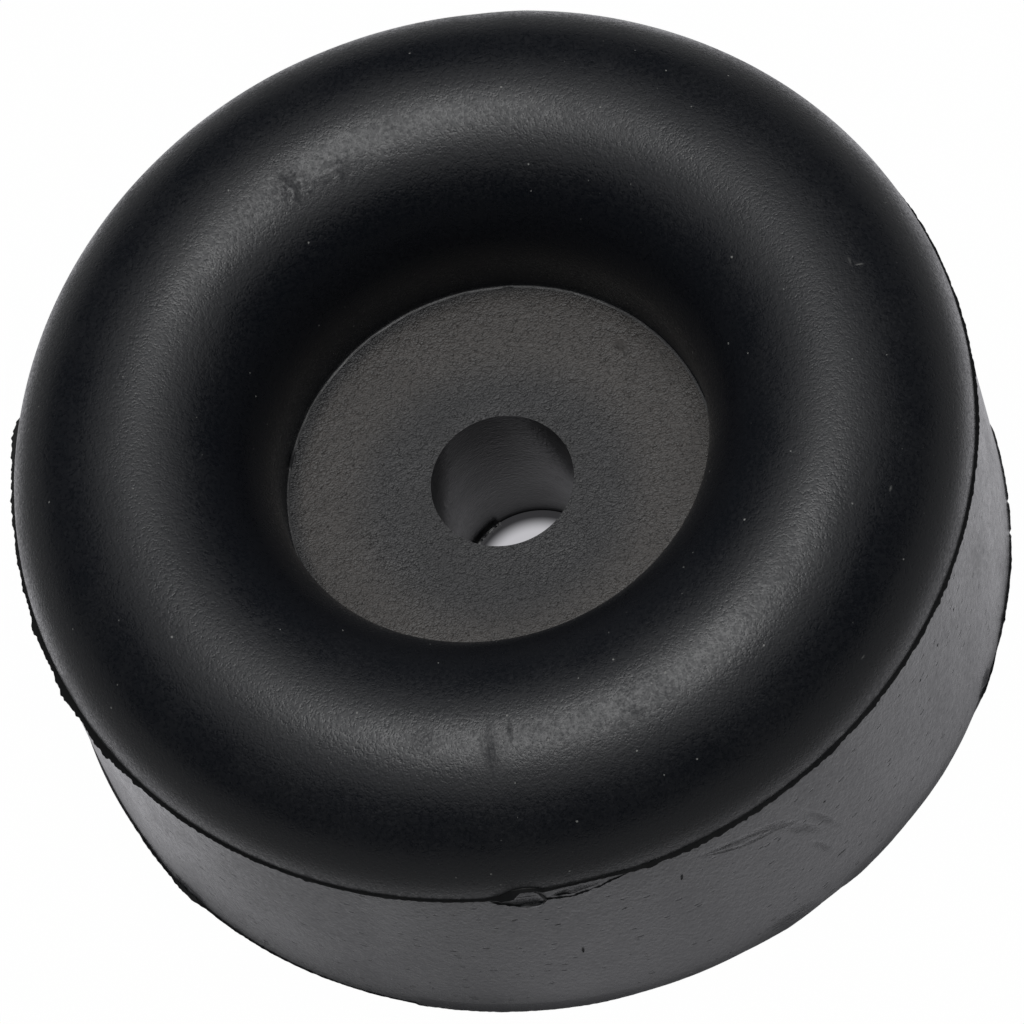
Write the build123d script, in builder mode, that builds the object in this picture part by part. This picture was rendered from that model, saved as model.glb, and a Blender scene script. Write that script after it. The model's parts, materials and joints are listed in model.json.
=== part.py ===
"""Rubber vibration mount, moulded in one piece.

A squat round foot. A nearly straight skirt stands on a flat base, and a half-round crown runs round its top.
Inside the crown a straight wall drops to a flat seat for a washer, and a bore takes the bolt down through the base.
The mould parts where the skirt meets the crown, and a thin fin of flash is left all round that line.

The origin is on the bore's axis in the plane of the base, with +Z up through the crown.
"""

import os
from math import radians, tan

from build123d import *

# Driving dimensions, in millimetres and degrees
outer_diameter = 60.0  # widest part of the crown, in the mould's parting plane
overall_height = 25.0  # base to the top of the crown
seat_diameter = 27.2  # recess inside the crown, down to the washer seat
seat_wall_depth = 3.4  # straight wall from the parting plane down to the seat
seat_corner_radius = 0.2  # where that wall meets the seat
bore_diameter = 9.0  # clearance for an 8 mm bolt
skirt_draft_angle = 0.5  # the skirt narrows towards the base
flash_width = 0.3  # how far the fin stands out from the crown
flash_thickness = 0.34  # at the fin's root
flash_tip_share = 0.5  # thickness of the fin's edge, as a share of its root

# Sizes that follow from them
outer_radius = outer_diameter / 2
seat_radius = seat_diameter / 2
crown_radius = (outer_radius - seat_radius) / 2
crown_ring_radius = outer_radius - crown_radius
parting_height = overall_height - crown_radius
seat_height = parting_height - seat_wall_depth
base_radius = outer_radius - parting_height * tan(radians(skirt_draft_angle))

with BuildPart() as rubber_mount:
    # Half section of the body: base, skirt, crown, recess wall and seat
    with BuildSketch(Plane.XZ):
        with BuildLine():
            base_line = Line((0, 0), (base_radius, 0))
            skirt_line = Line(base_line @ 1, (outer_radius, parting_height))
            crown_arc = ThreePointArc(
                skirt_line @ 1,
                (crown_ring_radius, overall_height),
                (seat_radius, parting_height),
            )
            wall_line = Line(crown_arc @ 1, (seat_radius, seat_height))
            seat_line = Line(wall_line @ 1, (0, seat_height))
            Line(seat_line @ 1, base_line @ 0)
        make_face()
    revolve(axis=Axis.Z)

    # Flash at the parting line, tapering from its root inside the body to a blunt edge
    with BuildSketch(Plane.XZ):
        with BuildLine():
            root_radius = outer_radius - flash_width
            edge_radius = outer_radius + flash_width
            half_root = flash_thickness / 2
            half_edge = half_root * flash_tip_share
            Polyline(
                (root_radius, parting_height - half_root),
                (edge_radius, parting_height - half_edge),
                (edge_radius, parting_height + half_edge),
                (root_radius, parting_height + half_root),
                close=True,
            )
        make_face()
    revolve(axis=Axis.Z)

    # The seat is the highest flat face, and its rim is softened before the bore is cut through it
    seat_face = rubber_mount.faces().filter_by(Plane.XY).sort_by(Axis.Z)[-1]
    fillet(seat_face.edges(), radius=seat_corner_radius)

    with Locations((0, 0, seat_height)):
        Hole(radius=bore_diameter / 2)

rubber_mount.part.label = "rubber_mount"

os.makedirs("parts", exist_ok=True)
export_step(rubber_mount.part, "parts/rubber_mount.step")
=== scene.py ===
"""Dresses the moulded rubber vibration mount and stands it in a plain white studio.

The body is one revolved section: base, skirt, half-round crown, recess wall, seat and bore.
Ragged fins of flash stand where the mould parts, round the base and in the bore's lower mouth.
All lengths are in metres, with the origin on the bore's axis in the plane of the base.
"""

import json
import math
from typing import NamedTuple

import bmesh
import bpy
from bpy.props import FloatProperty, FloatVectorProperty, IntProperty, PointerProperty
from mathutils import Matrix, Vector, noise


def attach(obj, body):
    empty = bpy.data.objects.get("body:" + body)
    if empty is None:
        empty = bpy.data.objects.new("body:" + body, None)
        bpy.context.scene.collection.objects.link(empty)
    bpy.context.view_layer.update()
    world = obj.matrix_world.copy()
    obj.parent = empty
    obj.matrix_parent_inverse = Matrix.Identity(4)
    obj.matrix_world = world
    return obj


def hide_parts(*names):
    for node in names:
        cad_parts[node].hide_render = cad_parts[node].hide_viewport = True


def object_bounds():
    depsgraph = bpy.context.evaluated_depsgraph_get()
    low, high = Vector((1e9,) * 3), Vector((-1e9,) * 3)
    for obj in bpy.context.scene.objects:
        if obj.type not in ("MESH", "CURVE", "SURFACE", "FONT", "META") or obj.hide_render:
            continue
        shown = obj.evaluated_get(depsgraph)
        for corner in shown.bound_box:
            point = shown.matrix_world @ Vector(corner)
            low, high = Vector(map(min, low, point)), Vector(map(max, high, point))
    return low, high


bl_info = {
    "name": "Rubber vibration mount",
    "version": (1, 0, 0),
    "blender": (4, 5, 0),
    "location": "3D View > Sidebar > Mount",
    "description": "Dresses a moulded rubber vibration mount and lights it in a plain studio",
    "category": "Object",
}

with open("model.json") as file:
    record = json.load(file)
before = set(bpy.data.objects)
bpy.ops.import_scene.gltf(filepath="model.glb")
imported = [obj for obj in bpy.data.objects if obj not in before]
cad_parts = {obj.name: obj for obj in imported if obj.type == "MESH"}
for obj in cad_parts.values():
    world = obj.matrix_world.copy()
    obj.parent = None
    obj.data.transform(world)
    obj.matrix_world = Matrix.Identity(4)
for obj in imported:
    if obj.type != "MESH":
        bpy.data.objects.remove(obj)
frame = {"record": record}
CAD_LOW, CAD_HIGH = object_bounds()
MOUNTS = {mount["name"]: mount for mount in frame["record"]["mounts"]}
MM = 0.001
MERGE_DISTANCE = MM / 1000
FULL_TURN = 360
BODY_SHARP_ANGLE = math.radians(35)
FIN_SHARP_ANGLE = math.radians(25)
ROUND_SHARP_ANGLE = math.radians(60)
NODE = "rubber_mount"
BODY = "root"


class MountSizes(bpy.types.PropertyGroup):
    """Sizes of the moulding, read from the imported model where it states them"""

    outer_diameter: FloatProperty(
        name="Outer diameter",
        description="Widest part of the crown, at the parting line",
        default=60.0 * MM,
        unit="LENGTH",
    )
    height: FloatProperty(
        name="Height",
        description="Base to the top of the crown",
        default=CAD_HIGH.z - CAD_LOW.z,
        unit="LENGTH",
    )
    seat_diameter: FloatProperty(
        name="Seat diameter",
        description="Recess inside the crown",
        default=27.2 * MM,
        unit="LENGTH",
    )
    seat_height: FloatProperty(
        name="Seat height",
        description="Base to the washer seat",
        default=MOUNTS["washer_seat"]["pos_m"][2],
        unit="LENGTH",
    )
    seat_corner_radius: FloatProperty(
        name="Seat corner",
        description="Rounding where the recess wall meets the seat",
        default=0.08 * MM,
        unit="LENGTH",
    )
    bore_diameter: FloatProperty(
        name="Bore diameter",
        description="Hole for the bolt",
        default=2 * MOUNTS["bolt_bore"]["dims"]["r_mm"] * MM,
        unit="LENGTH",
    )
    skirt_draft: FloatProperty(
        name="Skirt draft",
        description="How much the skirt leans in towards the base",
        default=math.radians(0.5),
        subtype="ANGLE",
    )
    foot_flare: FloatProperty(
        name="Foot flare",
        description="How far the moulded foot stands out past the drafted skirt",
        default=0.10 * MM,
        unit="LENGTH",
    )
    turn_steps: IntProperty(
        name="Steps round the body",
        description="Facets in a full turn of the revolved body",
        default=400,
    )

    @property
    def outer_radius(self):
        return self.outer_diameter / 2

    @property
    def seat_radius(self):
        return self.seat_diameter / 2

    @property
    def bore_radius(self):
        return self.bore_diameter / 2

    @property
    def crown_radius(self):
        return (self.outer_radius - self.seat_radius) / 2

    @property
    def crown_ring_radius(self):
        return self.outer_radius - self.crown_radius

    @property
    def parting_height(self):
        return self.height - self.crown_radius

    @property
    def base_radius(self):
        return self.outer_radius - self.parting_height * math.tan(self.skirt_draft)

    @property
    def foot_radius(self):
        return self.base_radius + self.foot_flare


class FlashSizes(bpy.types.PropertyGroup):
    """Sizes of the ragged flash that the mould leaves"""

    parting_width: FloatProperty(
        name="Parting fin width",
        description="Usual reach of the fin at the parting line",
        default=0.24 * MM,
        unit="LENGTH",
    )
    parting_rise: FloatProperty(
        name="Parting fin rise",
        description="How far up the crown that fin's sloping top starts",
        default=0.16 * MM,
        unit="LENGTH",
    )
    tip_height: FloatProperty(
        name="Tip height",
        description="Height of a fin's blunt edge",
        default=0.0267 * MM,
        unit="LENGTH",
    )
    toe_width: FloatProperty(
        name="Toe width",
        description="Usual reach of the flared toe round the base",
        default=0.11 * MM,
        unit="LENGTH",
    )
    toe_rise: FloatProperty(
        name="Toe rise",
        description="How far up the skirt the toe starts",
        default=1.15 * MM,
        unit="LENGTH",
    )
    edge_width: FloatProperty(
        name="Base edge width",
        description="Usual reach of the thin flash that stands out from the toe",
        default=0.08 * MM,
        unit="LENGTH",
    )
    edge_rise: FloatProperty(
        name="Base edge rise",
        description="How far up the toe that flash starts",
        default=0.16 * MM,
        unit="LENGTH",
    )
    bite: FloatProperty(
        name="Root depth",
        description="How far the root of the flash lies inside the body",
        default=0.4 * MM,
        unit="LENGTH",
    )
    turn_steps: IntProperty(
        name="Steps round a fin",
        description="Facets in a full turn of a fin",
        default=2880,
    )
    scar_steps: IntProperty(
        name="Steps along a torn edge",
        description="Facets along each torn edge of the scar and the lip",
        default=120,
    )
    lump_azimuth: FloatProperty(
        name="Lump azimuth",
        description="Place of the lump round the mount, from +X",
        default=math.radians(-103.6),
        subtype="ANGLE",
    )
    lump_drop: FloatProperty(
        name="Lump drop",
        description="How far the lump's middle lies below the parting line",
        default=1.38 * MM,
        unit="LENGTH",
    )
    lump_reach: FloatVectorProperty(
        name="Lump half sizes",
        description="Half sizes of the lump out from the skirt, along it and up",
        default=(0.15 * MM, 0.62 * MM, 0.34 * MM),
        size=3,
        unit="LENGTH",
    )
    rim_width: FloatProperty(
        name="Seat rim width",
        description="Width of the low rim round the seat",
        default=0.26 * MM,
        unit="LENGTH",
    )
    rim_height: FloatProperty(
        name="Seat rim height",
        description="Height of the low rim round the seat",
        default=0.045 * MM,
        unit="LENGTH",
    )
    lip_start: FloatProperty(
        name="Lip start",
        description="Where the torn lip in the bore starts, from +X",
        default=math.radians(104),
        subtype="ANGLE",
    )
    lip_sweep: FloatProperty(
        name="Lip sweep",
        description="How far round the bore the lip runs",
        default=math.radians(36),
        subtype="ANGLE",
    )
    lip_reach: FloatProperty(
        name="Lip reach",
        description="How far the lip stands into the bore",
        default=0.36 * MM,
        unit="LENGTH",
    )
    lip_height: FloatProperty(
        name="Lip height",
        description="Height of the lip above the base",
        default=0.5 * MM,
        unit="LENGTH",
    )
    lip_thickness: FloatProperty(
        name="Lip thickness",
        description="Thickness of the lip",
        default=0.12 * MM,
        unit="LENGTH",
    )


class RubberFinish(bpy.types.PropertyGroup):
    """Colours and gloss of the rubber, with darker colours that paint shade in the recess, on the seat and in
    the bore
    """

    black: FloatVectorProperty(
        name="Rubber black",
        description="Colour of the plain rubber",
        default=(0.0100, 0.0110, 0.0141),
        size=3,
        subtype="COLOR",
    )
    worn_black: FloatVectorProperty(
        name="Worn black",
        description="Colour of the cloudy patches",
        default=(0.0122, 0.0131, 0.0160),
        size=3,
        subtype="COLOR",
    )
    seat_grey: FloatVectorProperty(
        name="Seat grey",
        description="Colour of the blasted seat",
        default=(0.0684, 0.0633, 0.0600),
        size=3,
        subtype="COLOR",
    )
    # Painted shade: the seat takes this darker grey round the bore and in a band along its edge under the
    # recess wall
    seat_shade_grey: FloatVectorProperty(
        name="Seat middle",
        description="Colour of the seat round the bore",
        default=(0.0378, 0.0378, 0.0396),
        size=3,
        subtype="COLOR",
    )
    # Painted shade: the crown's inner side and the recess wall take this darker black
    recess_shade_black: FloatVectorProperty(
        name="Recess black",
        description="Colour of the crown's inner side, down to the seat",
        default=(0.0062, 0.0070, 0.0095),
        size=3,
        subtype="COLOR",
    )
    # Painted shade: the bore's wall takes a darker black than the crown's, for the shade inside the bore
    bore_shade_black: FloatVectorProperty(
        name="Bore black",
        description="Colour of the bore's wall",
        default=(0.0062, 0.0068, 0.0084),
        size=3,
        subtype="COLOR",
    )
    flash_black: FloatVectorProperty(
        name="Flash black",
        description="Colour of the flash",
        default=(0.0080, 0.0080, 0.0085),
        size=3,
        subtype="COLOR",
    )
    dust: FloatVectorProperty(
        name="Dust",
        description="Colour of the dust specks",
        default=(0.26, 0.26, 0.25),
        size=3,
        subtype="COLOR",
    )
    crown_roughness: FloatProperty(
        name="Crown roughness",
        description="Roughness of the smooth crown",
        default=0.335,
        subtype="FACTOR",
    )
    skirt_roughness: FloatProperty(
        name="Skirt roughness",
        description="Roughness of the skirt",
        default=0.28,
        subtype="FACTOR",
    )
    bore_roughness: FloatProperty(
        name="Bore roughness",
        description="Roughness of the bore's wall",
        default=0.33,
        subtype="FACTOR",
    )
    seat_roughness: FloatProperty(
        name="Seat roughness",
        description="Roughness of the blasted seat",
        default=0.46,
        subtype="FACTOR",
    )
    flash_roughness: FloatProperty(
        name="Flash roughness",
        description="Roughness of the flash",
        default=0.42,
        subtype="FACTOR",
    )


class StudioSettings(bpy.types.PropertyGroup):
    """Camera, floor and lamps"""

    camera_elevation: FloatProperty(
        name="Camera elevation",
        description="Angle of the view above the floor",
        default=math.radians(62.184),
        subtype="ANGLE",
    )
    camera_roll: FloatProperty(
        name="Camera roll",
        description="Turn of the picture about the line of sight",
        default=math.radians(-20.249),
        subtype="ANGLE",
    )
    camera_distance: FloatProperty(
        name="Camera distance",
        description="Camera to the point that it looks at",
        default=1.1477,
        unit="LENGTH",
    )
    camera_lens: FloatProperty(
        name="Lens",
        description="Focal length in millimetres on a 36 mm sensor",
        default=648.6,
    )
    aim: FloatVectorProperty(
        name="Aim",
        description="Point in the middle of the picture",
        default=(-0.11 * MM, 0.0, 9.08 * MM),
        size=3,
        subtype="XYZ",
        unit="LENGTH",
    )
    softbox_height: FloatProperty(
        name="Softbox height",
        description="Softbox and sheet above the floor",
        default=0.80,
        unit="LENGTH",
    )
    softbox_offset: FloatVectorProperty(
        name="Softbox offset",
        description="Place of the softbox's middle over the floor",
        default=(0.030, 0.036),
        size=2,
        unit="LENGTH",
    )
    softbox_angle: FloatProperty(
        name="Softbox half angle",
        description="Half the angle that the round softbox fills, seen from the mount",
        default=math.radians(19),
        subtype="ANGLE",
    )
    softbox_radiance: FloatProperty(
        name="Softbox radiance",
        description="Brightness of the softbox's face, where 1 is white",
        default=3.85,
    )
    sheet_angle: FloatProperty(
        name="Sheet half angle",
        description="Half the angle that the dim sheet round the softbox fills",
        default=math.radians(46),
        subtype="ANGLE",
    )
    sheet_radiance: FloatProperty(
        name="Sheet radiance",
        description="Brightness of the sheet's face, where 1 is white",
        default=0.45,
    )
    room_light: FloatProperty(
        name="Room light",
        description="Strength of the dim light from all round",
        default=0.010,
    )
    room_colour: FloatVectorProperty(
        name="Room colour",
        description="Colour of the dim light from all round",
        default=(0.30, 0.70, 1.0),
        size=3,
        subtype="COLOR",
    )
    floor_white: FloatVectorProperty(
        name="Floor",
        description="Colour of the floor",
        default=(0.90, 0.90, 0.92),
        size=3,
        subtype="COLOR",
    )
    # Painted shade: the floor is darker away from the mount, standing in for the softbox's light falling off
    # there
    far_floor_shade: FloatVectorProperty(
        name="Far floor",
        description="Colour of the floor well away from the mount",
        default=(0.40, 0.40, 0.40),
        size=3,
        subtype="COLOR",
    )
    shaded_floor: FloatVectorProperty(
        name="Shaded floor",
        description="Colour of the floor close under the mount",
        default=(0.020, 0.020, 0.025),
        size=3,
        subtype="COLOR",
    )
    bore_shade: FloatProperty(
        name="Bore shade",
        description="Width of the shade that the bore's wall casts on the floor",
        default=1.5 * MM,
        unit="LENGTH",
    )
    contact_shade: FloatProperty(
        name="Contact shade",
        description="Width of the shade along the mount's foot in the rubber's reflections",
        default=1.35 * MM,
        unit="LENGTH",
    )
    shade_middle: FloatVectorProperty(
        name="Shade middle",
        description="Middle of the contact shade, pushed away from the softbox",
        default=(-0.35 * MM, -0.20 * MM),
        size=2,
        unit="LENGTH",
    )
    shadow_share: FloatProperty(
        name="Shadow share",
        description="Depth of the mount's soft shadow in the rubber's reflections",
        default=0.49,
        subtype="FACTOR",
    )
    shadow_azimuth: FloatProperty(
        name="Shadow azimuth",
        description="Direction of the soft shadow, from +X",
        default=math.radians(-133),
        subtype="ANGLE",
    )
    shadow_spread: FloatProperty(
        name="Shadow spread",
        description="Half the angle that the soft shadow fills, seen from the mount",
        default=math.radians(32),
        subtype="ANGLE",
    )
    patch_middle: FloatVectorProperty(
        name="Patch middle",
        description="Middle of the floor's bright patch",
        default=(1.4 * MM, 7.5 * MM),
        size=2,
        unit="LENGTH",
    )
    bright_radius: FloatProperty(
        name="Bright radius",
        description="Radius of the floor's bright patch round the mount",
        default=38.0 * MM,
        unit="LENGTH",
    )
    dim_radius: FloatProperty(
        name="Dim radius",
        description="Radius where the bright patch has died away",
        default=60.0 * MM,
        unit="LENGTH",
    )
    white_share: FloatProperty(
        name="White share",
        description="How far the floor round the mount is shown as plain white, so that a faint shadow stays",
        default=0.99,
        subtype="FACTOR",
    )
    patch_share: FloatProperty(
        name="Patch share",
        description="How far the bright patch is white in the rubber's reflections",
        default=0.7,
        subtype="FACTOR",
    )
    bore_glow_share: FloatProperty(
        name="Bore glow share",
        description="How far the floor under the bore is white",
        default=0.52,
        subtype="FACTOR",
    )
    bore_dim_share: FloatProperty(
        name="Bore dim share",
        description="How far the floor along the bore's lower mouth is white",
        default=0.030,
        subtype="FACTOR",
    )
    bore_reflection_share: FloatProperty(
        name="Bore reflection share",
        description="How far the floor under the bore is white in the reflections on the bore's wall",
        default=0.42,
        subtype="FACTOR",
    )
    bore_contact: FloatProperty(
        name="Bore contact shade",
        description="Width of the shade along the bore's lower mouth in those reflections",
        default=0.6 * MM,
        unit="LENGTH",
    )
    glow_tint: FloatVectorProperty(
        name="Glow tint",
        description="Colour of the lit floor in the rubber's reflections and through the bore",
        default=(0.965, 0.955, 1.0),
        size=3,
        subtype="COLOR",
    )


# Mesh tools


def draw_line(bm, start, end, steps=1):
    """Extrudes a section's last vertex along a straight run and returns the new last vertex."""
    stride = (Vector(end) - start.co) / steps
    tip = start
    for _ in range(steps):
        tip = bmesh.ops.extrude_vert_indiv(bm, verts=[tip])["verts"][0]
        bmesh.ops.translate(bm, verts=[tip], vec=stride)
    return tip


def draw_arc(bm, start, centre, angle, steps):
    """Spins a section's last vertex about the Y axis through a centre and returns the new last vertex."""
    made = bmesh.ops.spin(
        bm, geom=[start], cent=centre, axis=(0, 1, 0), angle=angle, steps=steps, use_duplicate=False
    )
    return next(item for item in made["geom_last"] if isinstance(item, bmesh.types.BMVert))


def revolve(bm, steps):
    """Turns the drawn section a quarter circle about the Z axis and mirrors it twice into a closed skin."""
    bmesh.ops.remove_doubles(bm, verts=bm.verts, dist=MERGE_DISTANCE)
    bmesh.ops.spin(
        bm,
        geom=bm.verts[:] + bm.edges[:],
        cent=(0, 0, 0),
        axis=(0, 0, 1),
        angle=math.pi / 2,
        steps=steps // 4,
        use_duplicate=False,
    )
    for axis in ("X", "Y"):
        bmesh.ops.mirror(
            bm,
            geom=bm.verts[:] + bm.edges[:] + bm.faces[:],
            matrix=Matrix(),
            merge_dist=MERGE_DISTANCE,
            axis=axis,
        )
    bmesh.ops.remove_doubles(bm, verts=bm.verts, dist=MERGE_DISTANCE)
    bmesh.ops.recalc_face_normals(bm, faces=bm.faces)


def make_piece(name, bm, materials, sharp_angle):
    """Turns a bmesh into a smooth-shaded object of the mount and rides it on the mount's body."""
    for face in bm.faces:
        face.smooth = True
    mesh = bpy.data.meshes.new(name)
    bm.to_mesh(mesh)
    bm.free()
    mesh.set_sharp_from_angle(angle=sharp_angle)
    for material in materials:
        mesh.materials.append(material)
    piece = bpy.data.objects.new(name, mesh)
    bpy.context.scene.collection.objects.link(piece)
    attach(piece, BODY)
    return piece


def ring_noise(azimuth, per_turn, seed):
    """Smooth noise from -1 to 1 that closes on itself round the mount, with about so many waves a turn."""
    reach = per_turn / math.tau
    return noise.noise(Vector((reach * math.cos(azimuth), reach * math.sin(azimuth), seed)))


def ring_waves(azimuth, waves, seed=0.0):
    """Sums smooth noise round the mount over waves, each a height, a count in a turn and a seed."""
    return sum(height * ring_noise(azimuth, count, seed + own_seed) for height, count, own_seed in waves)


def share_at(azimuth_degrees, landmarks):
    """Reads a share between the landmarks (degrees, share) that stand round the mount."""
    before = landmarks[-1]
    before = (before[0] - FULL_TURN, before[1])
    for landmark in landmarks:
        if azimuth_degrees <= landmark[0]:
            span = landmark[0] - before[0]
            blend = (azimuth_degrees - before[0]) / span
            return before[1] + (landmark[1] - before[1]) * blend
        before = landmark
    after = (landmarks[0][0] + FULL_TURN, landmarks[0][1])
    blend = (azimuth_degrees - before[0]) / (after[0] - before[0])
    return before[1] + (after[1] - before[1]) * blend


# Shader tools

FINE_GRAIN_SCALE = 2.3
FINE_GRAIN_SHARE = 0.5
CLOUD_RANGE = (0.3, 0.7)
LEAST_SPECK_SHARE = 0.4
SPECK_CORE_SHARE = 0.5
PATCH_CORE_SHARE = 0.15
STREAK_RANGE = (0.62, 0.38)
DUST_SPECKS = {"Cells": 850.0, "Size": 0.06}
SUNK_DASHES = {"Cells": 1000.0, "Size": 0.22}
DASH_SQUASH = 1.7
PALE_ROUGHNESS = 0.3


def new_tree(material):
    """Empties a material's nodes and returns its tree and a new output node."""
    material.use_nodes = True
    tree = material.node_tree
    tree.nodes.clear()
    output = tree.nodes.new("ShaderNodeOutputMaterial")
    return tree, output


def add_node(tree, kind, values=None, **settings):
    """Adds a node, sets its properties and the values of its named or numbered inputs."""
    node = tree.nodes.new(kind)
    for key, value in settings.items():
        setattr(node, key, value)
    for key, value in (values or {}).items():
        node.inputs[key].default_value = value
    return node


def new_group(name, inputs, outputs):
    """Starts a shader node group with named sockets and returns its tree, input and output nodes."""
    group = bpy.data.node_groups.new(name, "ShaderNodeTree")
    for socket_name, kind, default in inputs:
        socket = group.interface.new_socket(socket_name, in_out="INPUT", socket_type=kind)
        if default is not None:
            socket.default_value = default
    for socket_name, kind in outputs:
        group.interface.new_socket(socket_name, in_out="OUTPUT", socket_type=kind)
    return group, group.nodes.new("NodeGroupInput"), group.nodes.new("NodeGroupOutput")


def use_group(tree, group, values):
    """Places a node group in a material and sets its inputs."""
    node = tree.nodes.new("ShaderNodeGroup")
    node.node_tree = group
    for key, value in values.items():
        node.inputs[key].default_value = value
    return node


def math_node(tree, operation, first, second, clamp=False):
    """Adds a math node whose two operands are sockets or numbers and returns its result socket."""
    node = add_node(tree, "ShaderNodeMath", operation=operation, use_clamp=clamp)
    for slot, operand in enumerate((first, second)):
        if isinstance(operand, bpy.types.NodeSocket):
            tree.links.new(operand, node.inputs[slot])
        else:
            node.inputs[slot].default_value = operand
    return node.outputs[0]


def ramp(tree, value, low, high):
    """Maps a value so that low becomes 0 and high becomes 1, smoothly and clamped."""
    node = add_node(
        tree,
        "ShaderNodeMapRange",
        {"From Min": low, "From Max": high},
        interpolation_type="SMOOTHSTEP",
    )
    tree.links.new(value, node.inputs["Value"])
    return node.outputs["Result"]


def mix_colour(tree, factor, first, second):
    """Mixes two colours, each a socket or a triple, by a factor socket and returns the colour socket."""
    node = add_node(tree, "ShaderNodeMix", data_type="RGBA")
    tree.links.new(factor, node.inputs["Factor"])
    for socket, colour in ((node.inputs[6], first), (node.inputs[7], second)):
        if isinstance(colour, bpy.types.NodeSocket):
            tree.links.new(colour, socket)
        else:
            socket.default_value = (*colour, 1.0)
    return node.outputs[2]


def grain_group():
    """Fine moulded grain in two sizes, and slow clouds of gloss."""
    group, source, sink = new_group(
        "moulded_grain",
        [
            ("Vector", "NodeSocketVector", None),
            ("Grain", "NodeSocketFloat", 3000.0),
            ("Clouds", "NodeSocketFloat", 150.0),
        ],
        [("Height", "NodeSocketFloat"), ("Cloud", "NodeSocketFloat")],
    )
    coarse = add_node(group, "ShaderNodeTexNoise", {"Detail": 2.0, "Roughness": 0.6})
    fine = add_node(group, "ShaderNodeTexNoise", {"Detail": 0.0})
    cloud = add_node(group, "ShaderNodeTexNoise", {"Detail": 3.0, "Roughness": 0.6})
    for node in (coarse, fine, cloud):
        group.links.new(source.outputs["Vector"], node.inputs["Vector"])
    group.links.new(source.outputs["Grain"], coarse.inputs["Scale"])
    fine_scale = math_node(group, "MULTIPLY", source.outputs["Grain"], FINE_GRAIN_SCALE)
    group.links.new(fine_scale, fine.inputs["Scale"])
    group.links.new(source.outputs["Clouds"], cloud.inputs["Scale"])
    fine_part = math_node(group, "MULTIPLY", fine.outputs["Fac"], FINE_GRAIN_SHARE)
    group.links.new(math_node(group, "ADD", coarse.outputs["Fac"], fine_part), sink.inputs["Height"])
    group.links.new(ramp(group, cloud.outputs["Fac"], *CLOUD_RANGE), sink.inputs["Cloud"])
    return group


def speck_group():
    """Sparse specks of uneven size, one in some of the cells of a cell pattern."""
    group, source, sink = new_group(
        "sparse_specks",
        [
            ("Vector", "NodeSocketVector", None),
            ("Cells", "NodeSocketFloat", 700.0),
            ("Share", "NodeSocketFloat", 0.1),
            ("Size", "NodeSocketFloat", 0.07),
        ],
        [("Mask", "NodeSocketFloat")],
    )
    cells = add_node(group, "ShaderNodeTexVoronoi", feature="F1")
    group.links.new(source.outputs["Vector"], cells.inputs["Vector"])
    group.links.new(source.outputs["Cells"], cells.inputs["Scale"])
    split = add_node(group, "ShaderNodeSeparateColor")
    group.links.new(cells.outputs["Color"], split.inputs["Color"])
    chosen = math_node(group, "LESS_THAN", split.outputs["Red"], source.outputs["Share"])
    uneven = math_node(group, "ADD", split.outputs["Green"], LEAST_SPECK_SHARE)
    reach = math_node(group, "MULTIPLY", source.outputs["Size"], uneven)
    depth = math_node(group, "DIVIDE", cells.outputs["Distance"], reach)
    inside = ramp(group, depth, 1.0, SPECK_CORE_SHARE)
    group.links.new(math_node(group, "MULTIPLY", chosen, inside), sink.inputs["Mask"])
    return group


def soft_patch_group():
    """One soft round patch of radius 1 about the origin."""
    group, source, sink = new_group(
        "soft_patch", [("Vector", "NodeSocketVector", None)], [("Mask", "NodeSocketFloat")]
    )
    length = add_node(group, "ShaderNodeVectorMath", operation="LENGTH")
    group.links.new(source.outputs["Vector"], length.inputs[0])
    group.links.new(ramp(group, length.outputs["Value"], 1.0, PATCH_CORE_SHARE), sink.inputs["Mask"])
    return group


def broken_patch_group():
    """A soft round patch that is broken up by streaks."""
    group, source, sink = new_group(
        "broken_patch",
        [("Vector", "NodeSocketVector", None), ("Breakup", "NodeSocketFloat", 1.0)],
        [("Mask", "NodeSocketFloat")],
    )
    soft = use_group(group, shared_group("soft_patch", soft_patch_group), {})
    group.links.new(source.outputs["Vector"], soft.inputs["Vector"])
    streaks = add_node(group, "ShaderNodeTexNoise", {"Scale": 4.5, "Detail": 3.0, "Roughness": 0.7})
    group.links.new(source.outputs["Vector"], streaks.inputs["Vector"])
    gaps = ramp(group, streaks.outputs["Fac"], *STREAK_RANGE)
    kept = math_node(group, "SUBTRACT", 1.0, math_node(group, "MULTIPLY", gaps, source.outputs["Breakup"]))
    group.links.new(math_node(group, "MULTIPLY", soft.outputs["Mask"], kept), sink.inputs["Mask"])
    return group


def shared_group(name, build):
    """Returns a shared node group, building it the first time."""
    return bpy.data.node_groups.get(name) or build()


class Mark(NamedTuple):
    """A rubbed patch, flow line, pit or bit of lint: its place, slant and half sizes out, along and up"""

    azimuth: float
    radius: float
    height: float
    slant: float
    reach: tuple
    breakup: float = 0.0
    roughening: float = 0.0
    sinking: float = 0.0
    paleness: float = 0.0

    @property
    def place(self):
        """Middle of the mark, in metres."""
        azimuth = math.radians(self.azimuth)
        return (
            self.radius * math.cos(azimuth) * MM,
            self.radius * math.sin(azimuth) * MM,
            self.height * MM,
        )


class ShadeZone(NamedTuple):
    """A round patch of painted shade: a darker colour, full at one radius from its middle and gone at another
    """

    colour: tuple
    middle: tuple
    full_radius: float
    free_radius: float


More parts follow.
